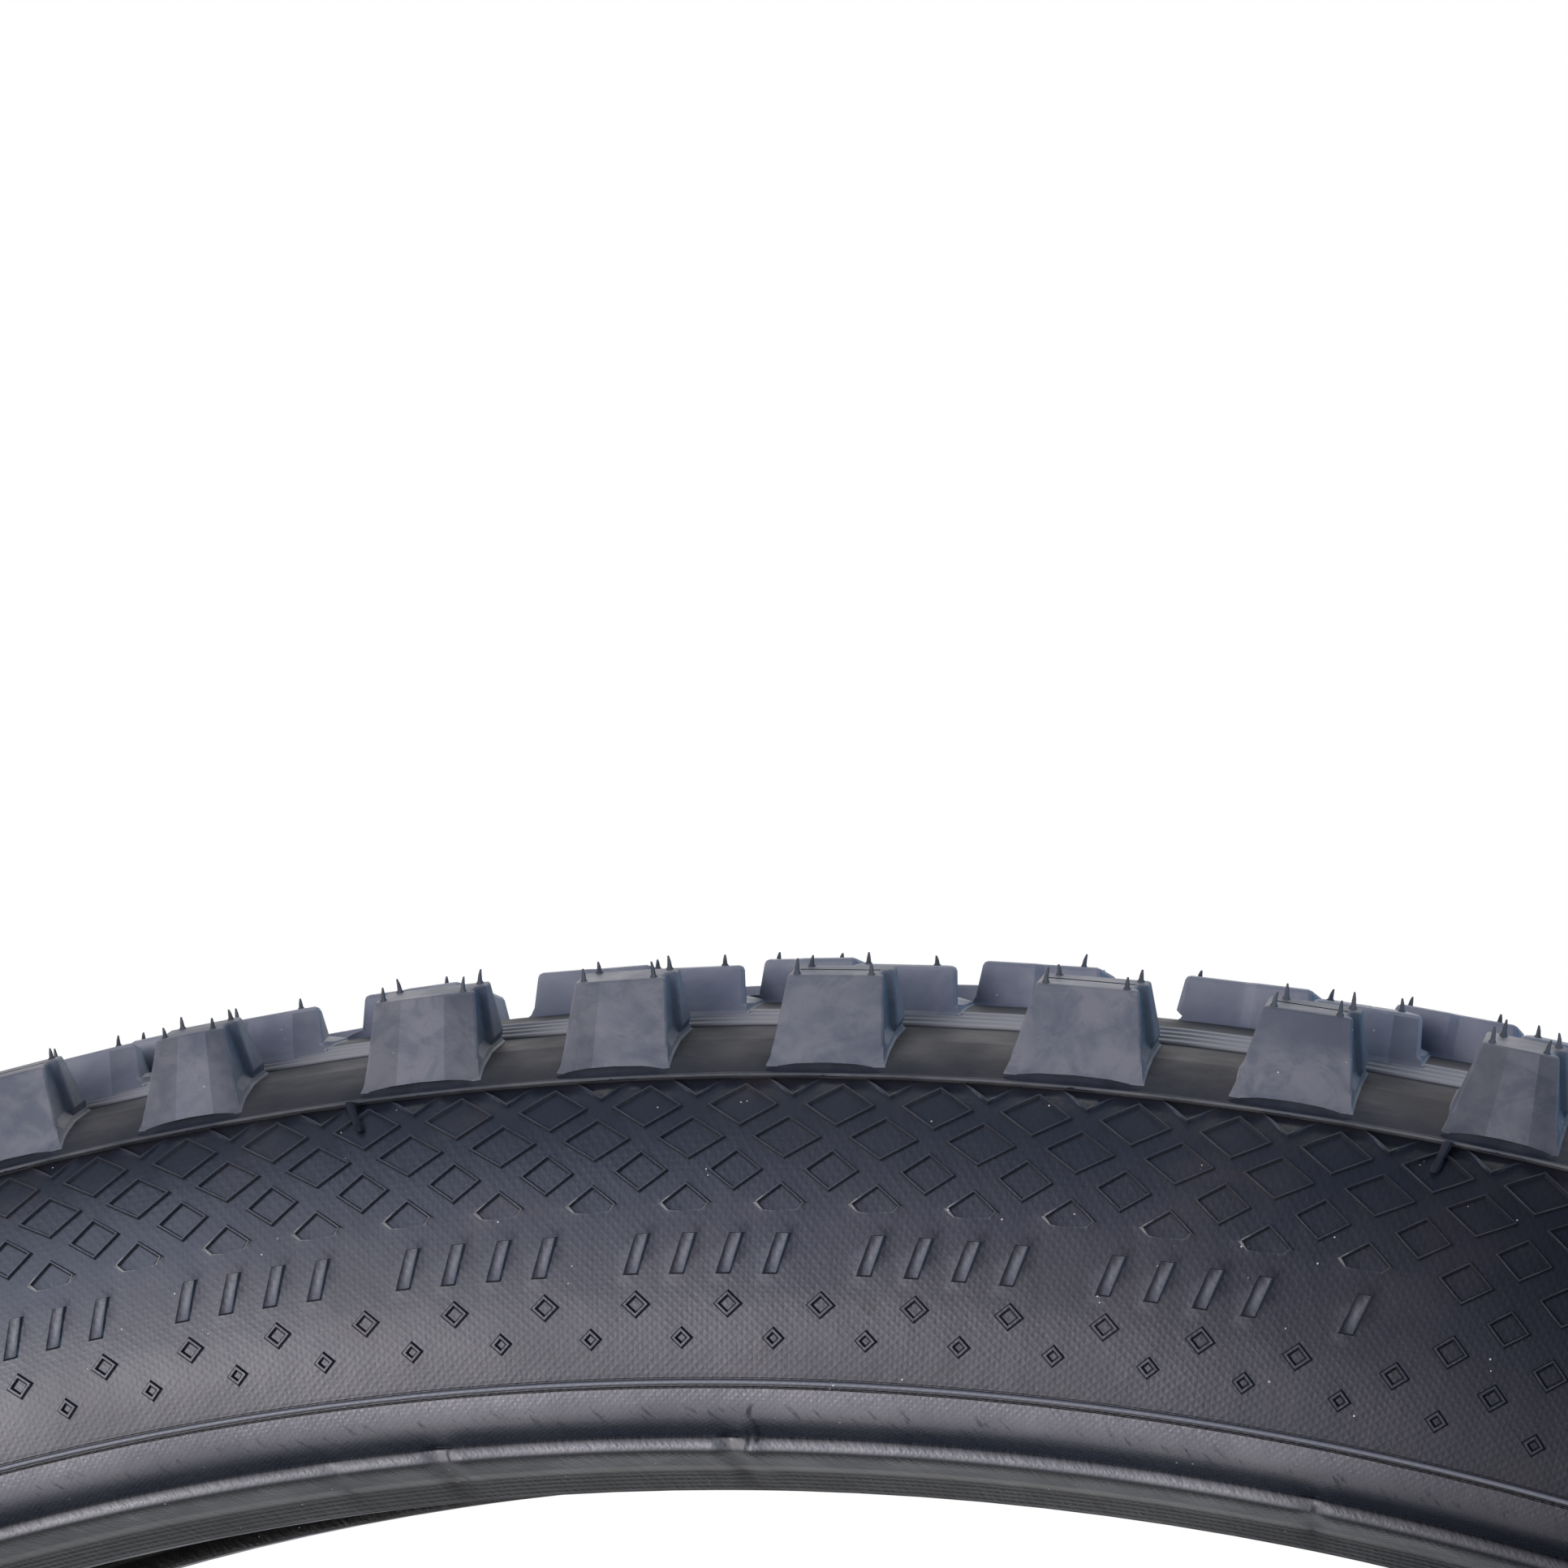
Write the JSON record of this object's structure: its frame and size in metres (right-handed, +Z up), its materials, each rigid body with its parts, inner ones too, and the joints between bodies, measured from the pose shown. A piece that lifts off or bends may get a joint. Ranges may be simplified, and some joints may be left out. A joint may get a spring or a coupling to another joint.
{
  "type": "bicycle tire",
  "caption": "Knobbly folding mountain-bike tire, off its rim: blocky tread, relief-patterned sidewalls, layered casing and two bead bores.",
  "frame": {"origin": "wheel's centre: on the axle line, in the tire's mid plane", "axes": "+Y along the axle towards the tire's left side, +Z up; the right side, at -Y, is the one that carries the pictured relief"},
  "size_m": [0.6954, 0.079, 0.6954],
  "materials": {
    "tread_rubber": "matte moulded rubber",
    "base_rubber": "matte",
    "belt_fabric": "woven",
    "sidewall_rubber": "satin moulded rubber over fabric",
    "casing_fabric": "rubber-coated cords",
    "liner_rubber": "smooth",
    "aramid_cord": "twisted cord bundle",
    "chafer_fabric": "rubber-coated fine weave"
  },
  "bodies": {
    "root": {"tread": "tread_rubber", "undertread": "base_rubber", "puncture_belt": "belt_fabric", "sidewall_right": "sidewall_rubber", "sidewall_left": "sidewall_rubber", "casing_outer_ply": "casing_fabric", "casing_inner_ply": "casing_fabric", "inner_liner": "liner_rubber", "bead_filler_right": "base_rubber", "bead_filler_left": "base_rubber", "bead_core_right": "aramid_cord", "bead_core_left": "aramid_cord", "chafer_right": "chafer_fabric", "chafer_left": "chafer_fabric", "vent_whiskers": "tread_rubber"}
  },
  "joints": []
}
